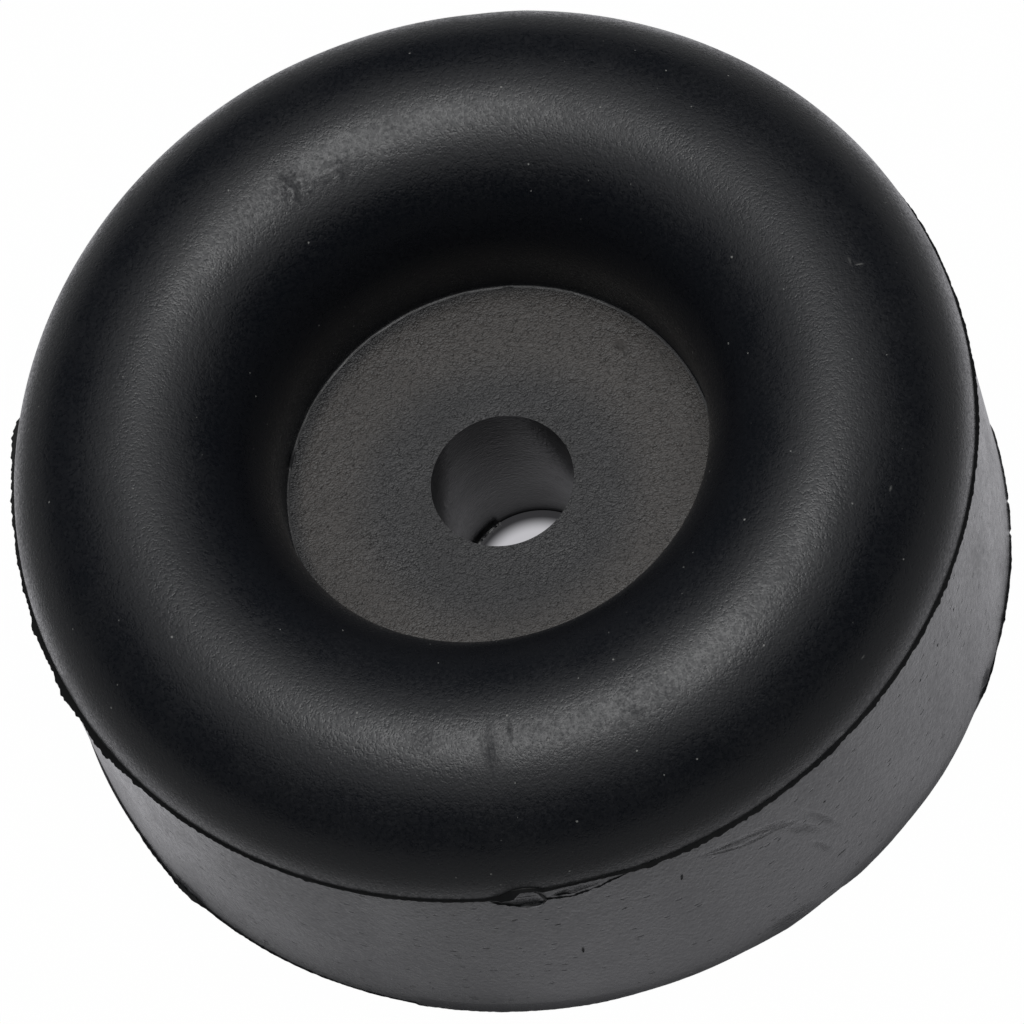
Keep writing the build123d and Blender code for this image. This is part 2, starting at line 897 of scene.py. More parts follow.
class Look(NamedTuple):
    """How one surface of the rubber looks: colours, gloss, grain, dust, dashes, marks and areas of painted
    shade
    """

    colour: tuple
    worn: tuple
    roughness: float
    grain: float
    upright: float
    depth: float
    clouding: float = 0.1
    dust_share: float = 0.0
    dash_share: float = 0.0
    dash_depth: float = 0.0
    mottle: float = 0.0
    gloss: float = 0.0
    marks: tuple = ()
    shade_zones: tuple = ()


SKIRT_MIDDLE_RADIUS = 29.93
STROKE_DEPTH = 1.0
STROKE_HALF_SHARE = 0.65
MEAN_GRAIN = 0.75
# Faces further than this margin from every mark have a plain finish, without marks
FACE_MARGIN = 0.7 * MM
PLAIN = "plain_"


def stroke(start, end, half_width, breakup, roughening, sinking):
    """Makes a straight mark on the skirt between two places, each an azimuth in degrees and a height."""
    along = math.radians(end[0] - start[0]) * SKIRT_MIDDLE_RADIUS
    rise = end[1] - start[1]
    return Mark(
        (start[0] + end[0]) / 2,
        SKIRT_MIDDLE_RADIUS,
        (start[1] + end[1]) / 2,
        math.degrees(math.atan2(rise, along)),
        (STROKE_DEPTH, STROKE_HALF_SHARE * math.hypot(along, rise), half_width),
        breakup,
        roughening,
        sinking,
    )


# Rubbed patches and lint on the crown, in millimetres and degrees
CROWN_MARKS = (
    Mark(108.0, 19.0, 24.6, 0.0, (2.8, 1.9, 2.0), 1.0, 0.26),
    Mark(99.5, 18.3, 24.2, 0.0, (2.4, 3.4, 2.0), 1.0, 0.26),
    Mark(-105.4, 24.2, 24.6, 0.0, (3.2, 0.75, 2.0), 0.4, 0.24),
    Mark(-102.2, 22.9, 24.9, 6.0, (1.2, 0.30, 2.0), 0.2, 0.20),
    Mark(-115.5, 23.2, 24.9, 0.0, (1.3, 1.2, 2.0), 0.9, 0.24),
    Mark(-84.0, 23.3, 24.9, 0.0, (2.4, 4.0, 2.0), 1.0, 0.14),
    Mark(-54.6, 29.19, 20.5, 0.0, (0.10, 0.26, 0.10), paleness=0.6),
    Mark(9.3, 28.47, 21.6, 0.0, (0.30, 0.07, 0.30), paleness=0.4),
    Mark(-0.5, 25.2, 24.3, 0.0, (0.45, 0.08, 0.30), paleness=0.5),
    Mark(0.4, 24.7, 24.4, 0.0, (0.12, 0.50, 0.20), paleness=0.3),
    Mark(-34.3, 26.77, 23.4, 0.0, (0.12, 0.30, 0.12), paleness=0.4),
    Mark(-108.3, 29.7, 19.0, 0.0, (0.14, 0.14, 0.14), paleness=0.9),
)
# Flow lines, slashes and pits on the skirt
SKIRT_MARKS = (
    stroke((-83.2, 15.0), (-75.8, 13.8), 0.50, 0.7, 0.06, 1.6),
    stroke((-82.9, 14.9), (-76.5, 14.0), 0.22, 0.6, 0.10, 3.0),
    stroke((-82.4, 14.55), (-78.4, 13.4), 0.20, 0.5, 0.10, 4.0),
    stroke((-78.9, 13.5), (-74.0, 12.8), 0.26, 0.6, 0.10, 3.0),
    stroke((-80.6, 14.65), (-79.4, 14.45), 0.12, 0.0, 0.16, 4.0),
    stroke((-78.0, 14.45), (-74.5, 13.3), 0.26, 0.6, 0.10, 3.0),
    stroke((-76.6, 14.3), (-72.4, 12.9), 0.45, 0.7, 0.08, 2.2),
    stroke((-74.9, 13.4), (-71.2, 12.0), 0.36, 0.5, 0.10, 2.8),
    stroke((-73.0, 12.4), (-70.2, 9.8), 0.40, 0.6, 0.08, 2.2),
    stroke((-71.6, 12.0), (-68.6, 8.5), 0.40, 0.5, 0.10, 2.4),
    stroke((-69.9, 12.6), (-66.1, 7.4), 0.40, 0.5, 0.10, 3.0),
    stroke((-70.3, 8.2), (-68.1, 5.3), 0.40, 0.6, 0.08, 2.2),
    stroke((-67.7, 4.05), (-66.4, 4.1), 0.12, 0.0, 0.3, 9.0),
    stroke((-86.46, 13.1), (-86.24, 13.85), 0.12, 0.0, 0.6, 30.0),
    stroke((-100.27, 7.45), (-100.12, 8.2), 0.11, 0.0, 0.6, 30.0),
    stroke((-67.2, 11.6), (-66.9, 11.7), 0.14, 0.0, 0.5, 16.0),
    stroke((-102.3, 12.0), (-101.6, 12.05), 0.11, 0.0, 0.4, 12.0),
    stroke((-106.9, 13.45), (-106.2, 13.55), 0.11, 0.0, 0.4, 10.0),
    stroke((-94.2, 12.05), (-93.6, 12.15), 0.11, 0.0, 0.4, 10.0),
    stroke((-39.4, 12.9), (-39.0, 12.9), 0.18, 0.0, 0.4, 12.0),
    stroke((-44.3, 12.9), (-43.9, 12.9), 0.16, 0.0, 0.4, 12.0),
    stroke((-48.9, 12.5), (-48.5, 12.5), 0.16, 0.0, 0.4, 12.0),
    stroke((-37.9, 0.5), (-35.9, 0.6), 0.50, 0.3, 0.3, 6.0),
    stroke((-79.5, 1.1), (-72.0, 0.8), 0.80, 1.0, 0.1, 1.5),
    stroke((-108.4, 16.45), (-106.2, 16.15), 0.42, 0.3, 0.35, 4.0),
    stroke((-106.4, 16.15), (-102.8, 16.05), 0.55, 0.9, 0.22, 4.0),
    stroke((-105.4, 16.75), (-103.2, 16.70), 0.10, 0.0, 0.30, 6.0),
    stroke((-101.0, 16.45), (-95.5, 16.65), 0.40, 1.0, 0.12, 4.0),
)
# Pits in the seat and a chip in the bore's upper rim
SEAT_MARKS = (
    Mark(117.6, 11.4, 13.4, 0.0, (0.45, 0.32, 1.0), sinking=0.45),
    Mark(130.2, 10.5, 13.4, 0.0, (0.60, 0.30, 1.0), sinking=0.40),
    Mark(78.6, 11.1, 13.4, 0.0, (0.38, 0.38, 1.0), sinking=0.55),
    Mark(38.6, 8.1, 13.4, 0.0, (0.36, 0.45, 1.0), sinking=0.50),
    Mark(147.0, 5.5, 13.4, 0.0, (0.36, 0.36, 1.0), sinking=0.40),
    Mark(-142.9, 11.1, 13.4, 0.0, (0.38, 0.38, 1.0), sinking=0.50),
    Mark(-120.0, 8.9, 13.4, 0.0, (0.34, 0.28, 1.0), sinking=0.40),
    Mark(31.6, 11.5, 13.4, 0.0, (0.60, 0.90, 1.0), breakup=0.6, sinking=-0.5),
    Mark(-57.5, 12.6, 13.4, 0.0, (0.60, 0.16, 1.0), roughening=0.2, sinking=1.0),
    Mark(10.0, 4.45, 13.4, 0.0, (0.16, 0.16, 0.6), roughening=0.3, sinking=0.8),
)


def add_marks(tree, place, marks):
    """Adds a surface's marks and returns their summed roughening, sinking and paleness."""
    sums = [0.0, 0.0, 0.0]
    for mark in marks:
        spot = add_node(tree, "ShaderNodeMapping", vector_type="TEXTURE")
        spot.inputs["Location"].default_value = mark.place
        spot.inputs["Rotation"].default_value = (math.radians(mark.slant), 0.0, math.radians(mark.azimuth))
        spot.inputs["Scale"].default_value = [half * MM for half in mark.reach]
        tree.links.new(place, spot.inputs["Vector"])
        if mark.breakup:
            broken = shared_group("broken_patch", broken_patch_group)
            patch = use_group(tree, broken, {"Breakup": mark.breakup})
        else:
            patch = use_group(tree, shared_group("soft_patch", soft_patch_group), {})
        tree.links.new(spot.outputs["Vector"], patch.inputs["Vector"])
        for index, weight in enumerate((mark.roughening, mark.sinking, mark.paleness)):
            if weight:
                weighted = math_node(tree, "MULTIPLY", patch.outputs["Mask"], weight)
                sums[index] = math_node(tree, "ADD", weighted, sums[index])
    return sums


def rubber_material(name, look, dust_colour):
    """Black moulded rubber with its own grain, cloudy gloss, dust specks, sunk dashes, marks and areas of
    painted shade.
    """
    material = bpy.data.materials.new(name)
    tree, output = new_tree(material)
    links = tree.links
    place = add_node(tree, "ShaderNodeTexCoord").outputs["Object"]
    along = add_node(tree, "ShaderNodeMapping", {"Scale": (1.0, 1.0, look.upright)})
    links.new(place, along.inputs["Vector"])
    grain = use_group(tree, shared_group("moulded_grain", grain_group), {"Grain": look.grain})
    links.new(along.outputs["Vector"], grain.inputs["Vector"])
    specks = shared_group("sparse_specks", speck_group)
    dust = use_group(tree, specks, {**DUST_SPECKS, "Share": look.dust_share})
    links.new(place, dust.inputs["Vector"])
    roughening, sinking, paleness = add_marks(tree, place, look.marks)
    if look.dash_share:
        flat = add_node(tree, "ShaderNodeMapping", {"Scale": (1.0, 1.0, DASH_SQUASH)})
        links.new(place, flat.inputs["Vector"])
        dashes = use_group(tree, specks, {**SUNK_DASHES, "Share": look.dash_share})
        links.new(flat.outputs["Vector"], dashes.inputs["Vector"])
        sunk_dashes = math_node(tree, "MULTIPLY", dashes.outputs["Mask"], look.dash_depth)
        sinking = math_node(tree, "ADD", sunk_dashes, sinking)

    shader = add_node(tree, "ShaderNodeBsdfPrincipled", {"IOR": 1.5})
    links.new(shader.outputs["BSDF"], output.inputs["Surface"])
    tone = mix_colour(tree, grain.outputs["Cloud"], look.colour, look.worn)
    flat_place = add_node(tree, "ShaderNodeMapping", {"Scale": (1.0, 1.0, 0.0)})
    links.new(place, flat_place.inputs["Vector"])
    # Each area of painted shade mixes in a darker colour round its middle
    for zone in look.shade_zones:
        length = add_node(tree, "ShaderNodeVectorMath", {1: (*zone.middle, 0.0)}, operation="DISTANCE")
        links.new(flat_place.outputs["Vector"], length.inputs[0])
        inside = ramp(tree, length.outputs["Value"], zone.free_radius, zone.full_radius)
        tone = mix_colour(tree, inside, tone, zone.colour)
    uneven = math_node(tree, "SUBTRACT", grain.outputs["Height"], MEAN_GRAIN)
    mottled = add_node(tree, "ShaderNodeVectorMath", operation="SCALE")
    links.new(tone, mottled.inputs[0])
    brightness = math_node(tree, "ADD", math_node(tree, "MULTIPLY", uneven, look.mottle), 1.0)
    links.new(brightness, mottled.inputs["Scale"])
    tone = mottled.outputs["Vector"]
    pale = math_node(tree, "ADD", dust.outputs["Mask"], paleness, clamp=True)
    links.new(mix_colour(tree, pale, tone, dust_colour), shader.inputs["Base Color"])

    cloudy = math_node(tree, "MULTIPLY", grain.outputs["Cloud"], look.clouding)
    rough = math_node(tree, "ADD", cloudy, look.roughness - look.clouding / 2)
    rough = math_node(tree, "ADD", rough, math_node(tree, "MULTIPLY", pale, PALE_ROUGHNESS))
    rough = math_node(tree, "ADD", rough, math_node(tree, "MULTIPLY", uneven, look.gloss))
    rough = math_node(tree, "ADD", rough, roughening, clamp=True)
    links.new(rough, shader.inputs["Roughness"])

    height = math_node(tree, "SUBTRACT", grain.outputs["Height"], sinking)
    bump = add_node(tree, "ShaderNodeBump", {"Strength": 1.0, "Distance": look.depth})
    links.new(height, bump.inputs["Height"])
    links.new(bump.outputs["Normal"], shader.inputs["Normal"])
    return material


# Pieces

# How far the crown stands out of round at the parting line: azimuth in degrees from +X, millimetres
CROWN_SWELL = (
    (-178.0, 0.06),
    (-170.0, 0.08),
    (-164.0, 0.15),
    (-156.0, 0.21),
    (-148.0, 0.24),
    (-120.0, 0.26),
    (-105.0, 0.22),
    (-96.0, 0.20),
    (-88.0, 0.14),
    (-75.0, 0.15),
    (-60.0, 0.13),
    (-30.0, 0.12),
    (0.0, 0.14),
    (20.0, 0.14),
    (40.0, 0.12),
    (60.0, 0.09),
    (67.0, 0.07),
    (73.0, -0.05),
    (92.0, -0.05),
    (100.0, 0.0),
    (150.0, 0.0),
    (170.0, 0.03),
)
# How far the foot stands out of round
FOOT_SWELL = (
    (-174.0, -0.25),
    (-166.0, -0.23),
    (-160.0, -0.13),
    (-154.0, -0.08),
    (-120.0, -0.08),
    (-105.0, -0.04),
    (-95.0, 0.0),
    (-45.0, 0.0),
    (-38.0, -0.05),
    (-28.0, -0.09),
    (0.0, -0.09),
    (25.0, -0.04),
    (60.0, 0.0),
    (160.0, 0.0),
    (178.0, -0.14),
)


def skirt_swell(degrees, height, sizes):
    """Finds how far the skirt stands out of round at an azimuth in degrees and a height."""
    share = height / sizes.parting_height
    return (share * share_at(degrees, CROWN_SWELL) + (1.0 - share) * share_at(degrees, FOOT_SWELL)) * MM


class MOUNT_OT_build_body(bpy.types.Operator):
    """Revolves the moulded body and gives each of its surfaces its own finish"""

    bl_idname = "mount.build_body"
    bl_label = "Build the moulded body"

    def execute(self, context):
        sizes = context.scene.mount_sizes
        finish = context.scene.rubber_finish
        bm = bmesh.new()
        self.draw_section(bm, sizes)
        revolve(bm, sizes.turn_steps)
        self.swell(bm, sizes)
        looks = self.surface_looks(finish)
        marked = {name: look for name, look in looks.items() if look.marks}
        looks.update({PLAIN + name: look._replace(marks=()) for name, look in marked.items()})
        names = list(looks)
        for face in bm.faces:
            centre = face.calc_center_median()
            name = self.surface_at(centre, sizes)
            if name in marked and not self.is_near_mark(centre, marked[name].marks):
                name = PLAIN + name
            face.material_index = names.index(name)
        materials = [rubber_material(name, look, finish.dust) for name, look in looks.items()]
        body = make_piece("moulded_body", bm, materials, BODY_SHARP_ANGLE)
        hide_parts(NODE)
        return {"FINISHED"}

    @staticmethod
    def draw_section(bm, sizes):
        """Draws the half section from the bore's lower mouth round to the same point."""
        corner = sizes.seat_corner_radius
        tip = bm.verts.new((sizes.bore_radius, 0, 0))
        tip = draw_line(bm, tip, (sizes.foot_radius, 0, 0), steps=6)
        tip = draw_line(bm, tip, (sizes.outer_radius, 0, sizes.parting_height), steps=16)
        tip = draw_arc(bm, tip, (sizes.crown_ring_radius, 0, sizes.parting_height), -math.pi, steps=64)
        tip = draw_line(bm, tip, (sizes.seat_radius, 0, sizes.seat_height + corner), steps=4)
        tip = draw_arc(
            bm, tip, (sizes.seat_radius - corner, 0, sizes.seat_height + corner), math.pi / 2, steps=8
        )
        tip = draw_line(bm, tip, (sizes.bore_radius, 0, sizes.seat_height), steps=9)
        draw_line(bm, tip, (sizes.bore_radius, 0, 0), steps=9)

    @staticmethod
    def swell(bm, sizes):
        """Puts the outer side slightly out of round at the parting line and the foot."""
        for vert in bm.verts:
            radius = math.hypot(vert.co.x, vert.co.y)
            if radius <= sizes.crown_ring_radius:
                continue
            degrees = math.degrees(math.atan2(vert.co.y, vert.co.x))
            swell = skirt_swell(degrees, min(vert.co.z, sizes.parting_height), sizes)
            if vert.co.z > sizes.parting_height:
                swell *= (radius - sizes.crown_ring_radius) / sizes.crown_radius
            scale = 1.0 + swell / radius
            vert.co.x *= scale
            vert.co.y *= scale

    @staticmethod
    def surface_at(centre, sizes):
        """Names the surface that a face of the body belongs to, from the face's centre."""
        radius = math.hypot(centre.x, centre.y)
        if centre.z < sizes.parting_height and radius > (sizes.base_radius + sizes.seat_radius) / 2:
            return "skirt_rubber"
        if centre.z < sizes.seat_height - sizes.seat_corner_radius:
            return "bore_rubber"
        if radius < sizes.seat_radius - sizes.seat_corner_radius:
            return "seat_rubber"
        return "crown_rubber"

    @staticmethod
    def is_near_mark(centre, marks):
        """Tells whether a mark may reach a face, from the face's centre."""
        return any(math.dist(mark.place, centre) < max(mark.reach) * MM + FACE_MARGIN for mark in marks)

    @staticmethod
    def surface_looks(finish):
        """Lists the look of each surface of the body, by name."""
        return {
            "crown_rubber": Look(
                finish.black,
                finish.worn_black,
                finish.crown_roughness,
                grain=3800.0,
                upright=1.0,
                depth=0.021 * MM,
                mottle=0.4,
                gloss=0.5,
                dust_share=0.8,
                marks=CROWN_MARKS,
                # Painted shade: the crown turns darker towards its inner side and down the recess wall
                shade_zones=(ShadeZone(finish.recess_shade_black, (0.0, 0.0), full_radius=14.5 * MM, free_radius=19.0 * MM),),
            ),
            "skirt_rubber": Look(
                finish.black,
                finish.worn_black,
                finish.skirt_roughness,
                grain=2300.0,
                upright=0.7,
                depth=0.027 * MM,
                mottle=0.8,
                gloss=0.2,
                dust_share=0.05,
                dash_share=0.5,
                dash_depth=1.3,
                marks=SKIRT_MARKS,
            ),
            "seat_rubber": Look(
                finish.seat_grey,
                finish.seat_grey,
                finish.seat_roughness,
                grain=4000.0,
                upright=1.0,
                depth=0.100 * MM,
                mottle=1.7,
                gloss=0.4,
                dust_share=0.1,
                marks=SEAT_MARKS,
                # Painted shade: the seat darkens round the bore and in a band along its edge under the recess
                # wall
                shade_zones=(
                    ShadeZone(
                        finish.seat_shade_grey,
                        (-0.5 * MM, -0.8 * MM),
                        full_radius=6.8 * MM,
                        free_radius=10.5 * MM,
                    ),
                    ShadeZone(
                        finish.seat_shade_grey,
                        (0.5 * MM, -0.5 * MM),
                        full_radius=14.0 * MM,
                        free_radius=12.9 * MM,
                    ),
                ),
            ),
            # Painted shade: the bore's wall is given a darker black than the rest of the rubber
            "bore_rubber": Look(
                finish.bore_shade_black,
                finish.bore_shade_black,
                finish.bore_roughness,
                grain=2600.0,
                upright=2.0,
                depth=0.028 * MM,
            ),
        }


# Waves round the mount that make torn edges uneven: height, count in a turn and seed
TEAR_WAVES = ((0.35, 110, 0.0), (0.45, 310, 1.0), (0.45, 690, 2.0))
SCAR_WIDTH_WAVES = ((0.9, 700, 5.0),)
SCAR_HEIGHT_WAVES = ((0.12, 420, 11.0),)
RIM_WAVES = ((0.6, 40, 13.0), (0.5, 120, 15.0))
LIP_WAVES = ((0.25, 60, 17.0),)
LEAST_TORN_SHARE = 0.2
LEAST_RIM_SHARE = 0.1
# Section of a torn edge, in widths of the edge
SCAR_ROOT = 1.0
SCAR_DROP = 2.0
SCAR_LIP = 0.7
SCAR_SHOULDER = 0.2
SCAR_RISE = 1.0
# Form of the lump and of the lip's top
LUMP_TAIL_SHARE = 1.8
LUMP_BUMP_SHARE = 0.18
LUMP_BUMPS = 2.2
LIP_SLOPE_SHARE = 0.25


class Fin(NamedTuple):
    """One fin of flash round the mount: where it stands, its section and its landmarks"""

    surface: float
    foot: float
    rise: float
    width: float
    reaches: tuple
    lifts: tuple
    swells: tuple
    roughness: float
    seed: float
    slope_steps: int = 3
    flare: float = 1.0


class MOUNT_OT_build_flash(bpy.types.Operator):
    """Makes the fins of flash, the torn scar, the seat's rim and the lip in the bore"""

    bl_idname = "mount.build_flash"
    bl_label = "Build the flash"

    # How far each fin reaches out from the surface: azimuth in degrees from +X, millimetres
    PARTING_REACHES = (
        (-179.6, 0.43),
        (-177.3, 0.36),
        (-175.0, 0.40),
        (-173.0, 0.36),
        (-170.6, 0.58),
        (-168.3, 0.50),
        (-166.0, 0.38),
        (-163.8, 0.55),
        (-160.6, 0.55),
        (-157.2, 0.45),
        (-150.0, 0.43),
        (-140.0, 0.41),
        (-128.0, 0.40),
        (-108.4, 0.38),
        (-107.2, 0.50),
        (-106.0, 0.64),
        (-105.2, 0.50),
        (-104.6, 0.40),
        (-102.0, 0.38),
        (-99.0, 0.33),
        (-93.0, 0.32),
        (-88.0, 0.36),
        (-78.0, 0.37),
        (-70.0, 0.33),
        (-58.0, 0.32),
        (-44.0, 0.29),
        (-41.0, 0.36),
        (-38.0, 0.28),
        (-25.0, 0.30),
        (-14.6, 0.32),
        (-5.5, 0.30),
        (3.7, 0.29),
        (8.3, 0.32),
        (13.0, 0.26),
        (17.5, 0.22),
        (26.0, 0.16),
        (90.0, 0.05),
        (151.4, 0.05),
        (152.4, 0.55),
        (154.4, 0.70),
        (157.0, 0.58),
        (159.0, 0.44),
        (164.3, 0.41),
        (166.6, 0.30),
        (173.5, 0.28),
        (176.0, 0.34),
        (178.1, 0.27),
    )
    # How far the parting fin climbs above the parting line over the torn scar
    PARTING_LIFTS = (
        (-109.0, 0.0),
        (-107.1, 0.30),
        (-105.7, 0.75),
        (-104.4, 0.85),
        (-102.9, 0.70),
        (-102.0, 0.42),
        (-99.5, 0.50),
        (-96.9, 0.48),
        (-94.4, 0.38),
        (-91.9, 0.15),
        (-89.3, 0.0),
    )
    TOE_REACHES = (
        (-176.0, -0.32),
        (-166.7, -0.26),
        (-160.0, -0.06),
        (-157.5, 0.0),
        (-155.1, 0.02),
        (-152.5, -0.03),
        (-139.4, -0.01),
        (-130.5, -0.02),
        (-122.8, -0.01),
        (-122.2, 0.09),
        (-113.3, 0.12),
        (-100.8, 0.13),
        (-94.7, 0.06),
        (-88.4, 0.06),
        (-82.3, 0.02),
        (-76.4, 0.11),
        (-71.9, 0.02),
        (-69.8, -0.09),
        (-67.8, 0.05),
        (-65.7, 0.11),
        (-57.0, 0.04),
        (-50.0, 0.07),
        (-44.0, 0.01),
        (-39.4, -0.07),
        (-37.1, 0.03),
        (-34.9, 0.02),
        (-30.3, -0.06),
        (-25.6, -0.07),
        (-21.1, -0.03),
        (-14.0, -0.06),
        (0.0, -0.08),
        (40.0, -0.02),
        (90.0, 0.0),
    )
    # The thin broken edge of flash that stands out from the toe at the left and the right
    EDGE_REACHES = (
        (-177.5, -0.20),
        (-174.0, -0.14),
        (-171.5, -0.11),
        (-166.7, -0.10),
        (-160.5, 0.06),
        (-158.5, 0.12),
        (-156.5, 0.23),
        (-154.5, 0.25),
        (-153.2, 0.17),
        (-152.2, 0.07),
        (-139.4, 0.05),
        (-130.5, 0.03),
        (-122.8, 0.04),
        (-122.2, 0.11),
        (-113.3, 0.10),
        (-105.0, 0.04),
        (-98.0, -0.06),
        (-42.0, -0.06),
        (-37.0, 0.14),
        (-32.8, 0.02),
        (-29.4, 0.03),
        (-28.5, 0.08),
        (-27.4, 0.04),
        (-24.5, 0.07),
        (-20.6, 0.07),
        (-17.5, 0.06),
        (-17.0, -0.06),
        (-16.5, 0.05),
        (-13.2, 0.05),
        (-12.8, -0.06),
        (-12.4, 0.05),
        (-3.4, 0.05),
        (-1.2, -0.12),
        (40.0, -0.06),
        (90.0, -0.04),
    )
    # How high the seat's rim stands, as a share of its usual height: a nub at the back, a tear at the left
    RIM_HEIGHTS = (
        (-170.0, 0.9),
        (-120.0, 0.3),
        (-60.0, 0.2),
        (0.0, 0.3),
        (25.0, 0.8),
        (68.8, 1.0),
        (70.2, 3.0),
        (71.6, 1.0),
        (95.0, 1.2),
        (149.0, 1.2),
        (150.4, 3.0),
        (152.4, 3.0),
        (153.8, 1.2),
        (178.0, 1.2),
    )
    # Edges of the torn scar under the parting line: azimuth in degrees, height and width in millimetres
    SCAR_EDGES = {
        "scar_rim": (
            (-108.6, 16.55, 0.06),
            (-107.9, 16.25, 0.14),
            (-106.3, 15.80, 0.16),
            (-104.7, 15.42, 0.14),
            (-103.4, 15.30, 0.17),
            (-102.5, 15.60, 0.16),
            (-102.0, 15.90, 0.13),
            (-100.7, 15.86, 0.08),
            (-99.5, 15.66, 0.08),
            (-97.9, 15.80, 0.12),
            (-96.6, 15.96, 0.07),
            (-94.9, 16.26, 0.11),
            (-93.3, 16.50, 0.08),
            (-91.6, 16.85, 0.05),
        ),
        "scar_streak": (
            (-101.4, 16.30, 0.02),
            (-100.1, 16.25, 0.09),
            (-99.6, 16.15, 0.10),
            (-98.6, 16.10, 0.03),
            (-96.4, 16.40, 0.01),
        ),
        "scar_fold": (
            (-103.35, 17.35, 0.02),
            (-102.95, 17.15, 0.13),
            (-102.5, 16.55, 0.20),
            (-102.1, 15.97, 0.17),
            (-101.8, 15.75, 0.03),
        ),
    }

    def execute(self, context):
        sizes = context.scene.mount_sizes
        flash = context.scene.flash_sizes
        finish = context.scene.rubber_finish
        look = Look(
            finish.flash_black,
            finish.flash_black,
            finish.flash_roughness,
            grain=2200.0,
            upright=1.0,
            depth=0.008 * MM,
        )
        rubber = rubber_material("flash_rubber", look, finish.dust)
        skirt = bpy.data.materials["skirt_rubber"]
        crown = bpy.data.materials["crown_rubber"]
        level = ((0.0, 0.0),)
        parting = Fin(
            sizes.outer_radius,
            sizes.parting_height,
            flash.parting_rise,
            flash.parting_width,
            self.PARTING_REACHES,
            self.PARTING_LIFTS,
            CROWN_SWELL,
            roughness=0.6,
            seed=3.0,
        )
        toe = Fin(
            sizes.foot_radius,
            0.0,
            flash.toe_rise,
            flash.toe_width,
            self.TOE_REACHES,
            level,
            FOOT_SWELL,
            roughness=0.25,
            seed=7.0,
            slope_steps=7,
            flare=2.0,
        )
        edge = Fin(
            sizes.foot_radius,
            0.0,
            flash.edge_rise,
            flash.edge_width,
            self.EDGE_REACHES,
            level,
            FOOT_SWELL,
            roughness=0.45,
            seed=9.0,
        )
        for name, fin, material in (
            ("parting_flash", parting, rubber),
            ("base_toe", toe, skirt),
            ("base_flash", edge, rubber),
        ):
            bm = bmesh.new()
            self.draw_fin(bm, fin, flash.bite, flash.tip_height)
            revolve(bm, flash.turn_steps)
            self.tear(bm, fin)
            make_piece(name, bm, [material], FIN_SHARP_ANGLE)
        for name, path in self.SCAR_EDGES.items():
            self.build_scar_edge(name, path, sizes, flash, rubber)
        self.build_lump(sizes, flash, skirt)
        self.build_seat_rim(sizes, flash, finish, self.RIM_HEIGHTS)
        self.build_lip(sizes, flash, crown)
        return {"FINISHED"}

    @staticmethod
    def draw_fin(bm, fin, bite, tip_height):
        """Draws a fin's section: flat below, sloping down to a blunt edge above, rooted in the body."""
        root, edge, slope = fin.surface - bite, fin.surface + fin.width, fin.rise - tip_height
        first = bm.verts.new((root, 0, fin.foot))
        tip = draw_line(bm, first, (fin.surface, 0, fin.foot))
        tip = draw_line(bm, tip, (edge, 0, fin.foot), steps=2)
        tip = draw_line(bm, tip, (edge, 0, fin.foot + tip_height))
        for step in range(1, fin.slope_steps + 1):
            share = step / fin.slope_steps
            radius = fin.surface + fin.width * (1.0 - share) ** fin.flare
            tip = draw_line(bm, tip, (radius, 0, fin.foot + tip_height + slope * share))
        tip = draw_line(bm, tip, (root, 0, fin.foot + fin.rise))
        draw_line(bm, tip, first.co)

    @staticmethod
    def tear(bm, fin):
        """Makes a fin's edge as ragged as torn rubber, drooping where it reaches far."""
        for vert in bm.verts:
            azimuth = math.atan2(vert.co.y, vert.co.x)
            degrees = math.degrees(azimuth)
            radius = math.hypot(vert.co.x, vert.co.y)
            vert.co.z += share_at(degrees, fin.lifts) * MM
            share = max(radius - fin.surface, 0.0) / fin.width
            torn = max(1.0 + fin.roughness * ring_waves(azimuth, TEAR_WAVES, fin.seed), LEAST_TORN_SHARE)
            swell = share_at(degrees, fin.swells) * MM
            reach = torn * (share_at(degrees, fin.reaches) * MM - swell)
            moved = share * (reach - fin.width) + swell
            scale = (radius + moved) / radius
            vert.co.x *= scale
            vert.co.y *= scale
            if fin.foot > 0.0:
                vert.co.z -= share * max(reach - fin.rise, 0.0)

    @staticmethod
    def build_scar_edge(name, path, sizes, flash, rubber):
        """Makes one torn edge of the scar, a thin ridge that faces up, along a path on the skirt."""
        heights = [(azimuth, height) for azimuth, height, _ in path]
        widths = [(azimuth, width) for azimuth, _, width in path]
        first, last = path[0][0], path[-1][0]
        bm = bmesh.new()
        foot = bm.verts.new((-SCAR_ROOT, 0, -SCAR_DROP))
        tip = draw_line(bm, foot, (0, 0, -SCAR_DROP))
        tip = draw_line(bm, tip, (SCAR_LIP, 0, 0), steps=2)
        tip = draw_line(bm, tip, (-SCAR_SHOULDER, 0, SCAR_RISE), steps=2)
        tip = draw_line(bm, tip, (-SCAR_ROOT, 0, SCAR_RISE))
        draw_line(bm, tip, foot.co)
        bmesh.ops.remove_doubles(bm, verts=bm.verts, dist=MERGE_DISTANCE)
        section = bmesh.ops.contextual_create(bm, geom=bm.edges[:])["faces"]
        bmesh.ops.translate(bm, verts=bm.verts, vec=(sizes.outer_radius / MM, 0, 0))
        bmesh.ops.rotate(bm, verts=bm.verts, matrix=Matrix.Rotation(math.radians(first), 3, "Z"))
        bmesh.ops.spin(
            bm,
            geom=section,
            cent=(0, 0, 0),
            axis=(0, 0, 1),
            angle=math.radians(last - first),
            steps=flash.scar_steps,
            use_duplicate=False,
        )
        surface = sizes.outer_radius / MM
        for vert in bm.verts:
            azimuth = math.atan2(vert.co.y, vert.co.x)
            degrees = math.degrees(azimuth)
            radius = math.hypot(vert.co.x, vert.co.y)
            width = share_at(degrees, widths) * (1.0 + ring_waves(azimuth, SCAR_WIDTH_WAVES))
            wander = ring_waves(azimuth, SCAR_HEIGHT_WAVES)
